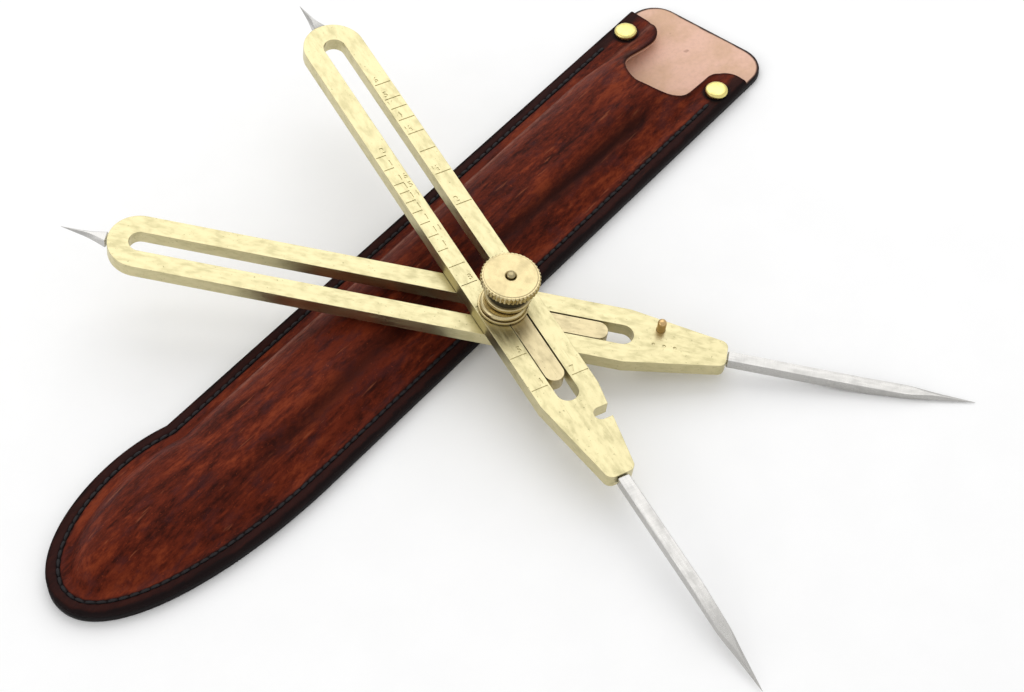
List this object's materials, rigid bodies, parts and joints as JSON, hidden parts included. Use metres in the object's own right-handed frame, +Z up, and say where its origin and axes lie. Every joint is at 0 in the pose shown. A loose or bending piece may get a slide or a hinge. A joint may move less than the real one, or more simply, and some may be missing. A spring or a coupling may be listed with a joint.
{
  "type": "proportional dividers with sheath",
  "caption": "Brass proportional dividers with slotted legs, steel points and a knurled clamp nut, lying open across a stitched leather sheath.",
  "frame": {"origin": "centre of the sheath's flat underside", "axes": "+X along the sheath towards its mouth, +Y across it towards the short points, +Z up from the surface it lies on"},
  "size_m": [0.261, 0.2216, 0.0306],
  "materials": {
    "brass": "hand-finished satin brass with engraved scales",
    "nut_brass": "turned brass, polished on the collar and knurled on the rim",
    "copper": "copper-coloured pin, filed",
    "steel": "ground steel with bright facets at the tips",
    "moulded_leather": "dark red-brown dyed leather, streaked along its length, with black edges",
    "flesh_leather": "pale undyed flesh side with a dark dyed rim",
    "thread": "waxed black linen thread",
    "rivet_brass": "bright domed brass"
  },
  "bodies": {
    "sheath": {"sheath_back": "flesh_leather", "sheath_front": "moulded_leather", "seam_thread_front": "thread", "seam_thread_back": "thread", "rivet_cap_near": "rivet_brass", "rivet_cap_far": "rivet_brass", "rivet_post_near": "rivet_brass", "rivet_post_far": "rivet_brass"},
    "lower_leg": {"lower_leg": "brass", "lower_long_point": "steel", "lower_short_point": "steel", "closing_peg": "copper"},
    "lower_slide": {"lower_slider": "brass", "pivot_stud": "nut_brass"},
    "upper_slide": {"upper_slider": "brass"},
    "upper_leg": {"upper_leg": "brass", "upper_long_point": "steel", "upper_short_point": "steel"},
    "clamp": {"friction_washer": "nut_brass", "clamp_collar": "nut_brass"},
    "nut": {"thumb_nut": "nut_brass"}
  },
  "joints": [
    {"name": "lift_off", "type": "slide", "parent": "sheath", "child": "lower_leg", "axis": [0, 0, 1], "range_m": [0, 0.06]},
    {"name": "slider_travel", "type": "slide", "parent": "lower_leg", "child": "lower_slide", "axis": [0.4898, -0.8644, -0.1135], "range_m": [-0.0895, 0.0062]},
    {"name": "leg_pivot", "type": "hinge", "parent": "lower_slide", "child": "upper_slide", "pos_m": [0.001, -0.0277, 0.01446], "axis": [0.0085, -0.1254, 0.9921], "range_deg": [-98, 50.92]},
    {"name": "upper_leg_travel", "type": "slide", "parent": "upper_slide", "child": "upper_leg", "axis": [-0.368, -0.9229, -0.1135], "range_m": [-0.0063, 0.0896]},
    {"name": "nut_lift", "type": "slide", "parent": "lower_slide", "child": "clamp", "axis": [0.0085, -0.1254, 0.9921], "range_m": [0, 0.0009]},
    {"name": "nut_turn", "type": "hinge", "parent": "clamp", "child": "nut", "pos_m": [0.001, -0.0277, 0.01446], "axis": [0.0085, -0.1254, 0.9921], "range_deg": [0, 541]}
  ],
  "couplings": [
    {"joint": "upper_leg_travel", "follows": "slider_travel", "ratio": -1},
    {"joint": "nut_turn", "follows": "nut_lift", "rad_per_m": 10472}
  ]
}
